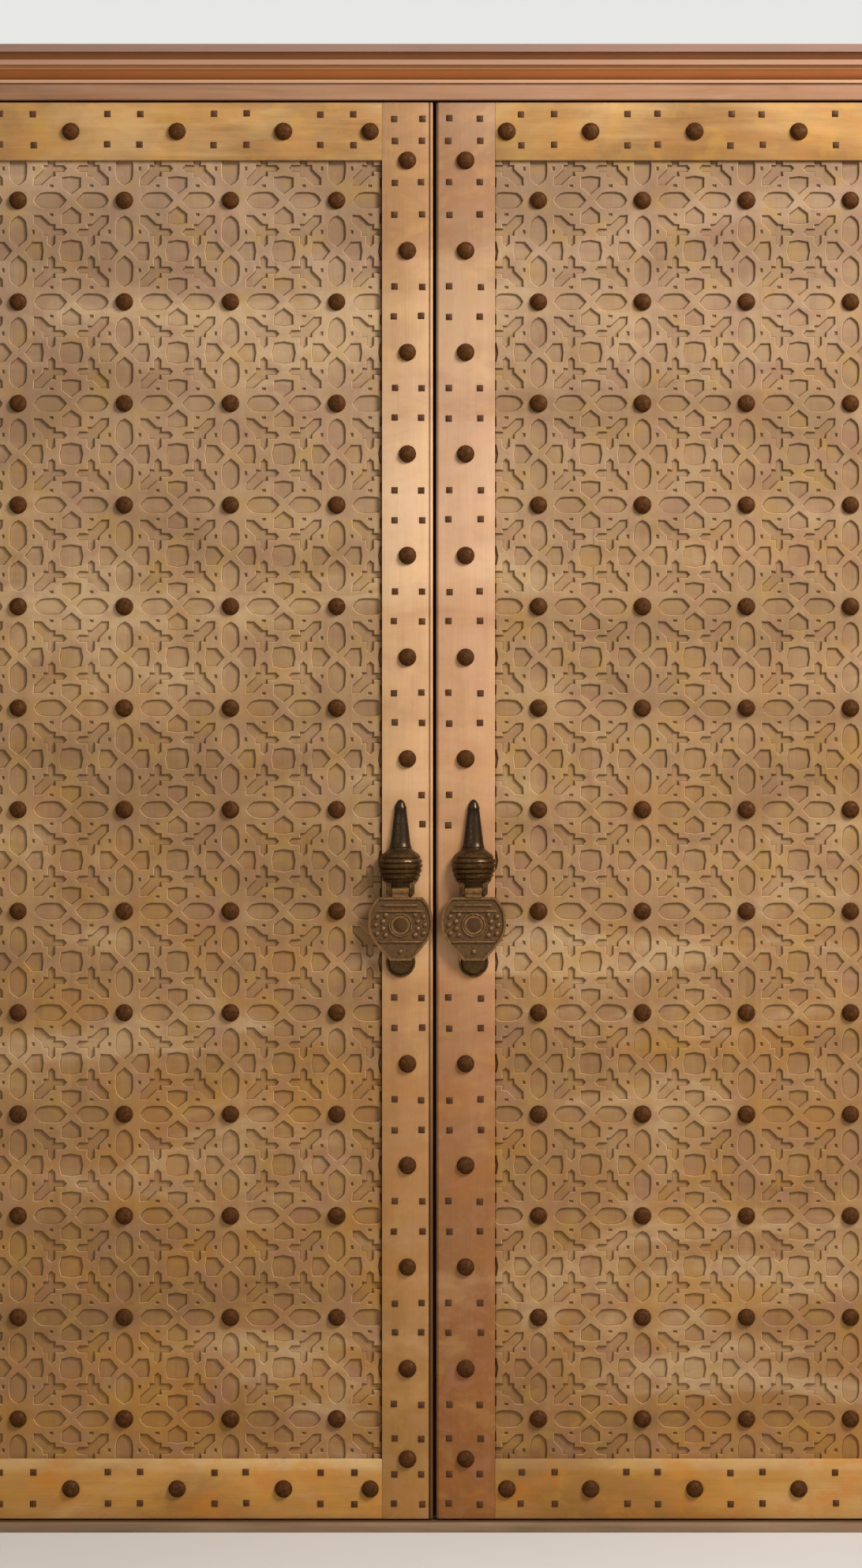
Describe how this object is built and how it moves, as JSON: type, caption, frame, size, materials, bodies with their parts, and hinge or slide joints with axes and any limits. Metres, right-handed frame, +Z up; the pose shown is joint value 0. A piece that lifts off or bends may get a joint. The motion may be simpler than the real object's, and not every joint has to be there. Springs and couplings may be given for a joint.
{
  "type": "carved temple door",
  "caption": "Tall double door: carved strapwork panels, iron studs, two bronze knockers with hanging discs, a moulded wooden frame, pivots and a back bolt.",
  "frame": {"origin": "on the floor under the threshold, in the middle of the doorway, level with the closed leaves' front face", "axes": "+Z up, +X to the right seen from the front, +Y into the building, the way the leaves open; the carved front faces -Y"},
  "size_m": [2.297, 0.178, 3.008],
  "materials": {
    "carved_wood": "old carved hardwood, dry and worn",
    "stile_wood": "old hardwood, worn smooth",
    "rail_wood": "old hardwood, yellower",
    "frame_wood": "old hardwood, reddish tan",
    "moulding_wood": "stained hardwood, red-brown",
    "sill_wood": "worn dull brown board",
    "back_wood": "plain planed hardwood",
    "stud_iron": "dark brown-black forged iron",
    "pivot_iron": "greased forged iron",
    "knocker_bronze": "very dark bronze patina",
    "disc_bronze": "brown worn bronze"
  },
  "bodies": {
    "frame": {"threshold": "sill_wood", "head_beam": "frame_wood", "head_moulding": "moulding_wood", "left_jamb": "frame_wood", "right_jamb": "frame_wood", "left_moulding": "moulding_wood", "right_moulding": "moulding_wood", "bottom_pivots": "pivot_iron", "top_pivots": "pivot_iron"},
    "left_leaf": {"left_heel_stile": "stile_wood", "left_meeting_stile": "stile_wood", "left_top_rail": "rail_wood", "left_bottom_rail": "rail_wood", "left_carved_panel": "carved_wood", "left_ledges": "back_wood", "left_panel_studs": "stud_iron", "left_border_studs": "stud_iron", "left_pivot_plates": "pivot_iron", "left_knocker_boss": "knocker_bronze", "left_striker": "knocker_bronze", "bolt_keeper": "back_wood"},
    "left_disc": {"left_knocker_disc": "disc_bronze"},
    "right_leaf": {"right_heel_stile": "stile_wood", "right_meeting_stile": "stile_wood", "right_top_rail": "rail_wood", "right_bottom_rail": "rail_wood", "right_carved_panel": "carved_wood", "right_ledges": "back_wood", "right_panel_studs": "stud_iron", "right_border_studs": "stud_iron", "right_pivot_plates": "pivot_iron", "right_knocker_boss": "knocker_bronze", "right_striker": "knocker_bronze", "bolt_guides": "back_wood"},
    "right_disc": {"right_knocker_disc": "disc_bronze"},
    "bolt": {"draw_bolt": "back_wood", "bolt_peg": "back_wood"}
  },
  "joints": [
    {"name": "left_leaf_turn", "type": "hinge", "parent": "frame", "child": "left_leaf", "pos_m": [-1.0135, 0.03, 0.024], "axis": [0, 0, 1], "range_deg": [0, 90]},
    {"name": "right_leaf_turn", "type": "hinge", "parent": "frame", "child": "right_leaf", "pos_m": [1.0135, 0.03, 0.024], "axis": [0, 0, -1], "range_deg": [0, 90]},
    {"name": "left_disc_swing", "type": "hinge", "parent": "left_leaf", "child": "left_disc", "pos_m": [-0.069, -0.017, 1.299], "axis": [-1, 0, 0], "range_deg": [0, 90]},
    {"name": "right_disc_swing", "type": "hinge", "parent": "right_leaf", "child": "right_disc", "pos_m": [0.079, -0.017, 1.299], "axis": [-1, 0, 0], "range_deg": [0, 90]},
    {"name": "bolt_slide", "type": "slide", "parent": "right_leaf", "child": "bolt", "axis": [-1, 0, 0], "range_m": [0, 0.135]}
  ]
}
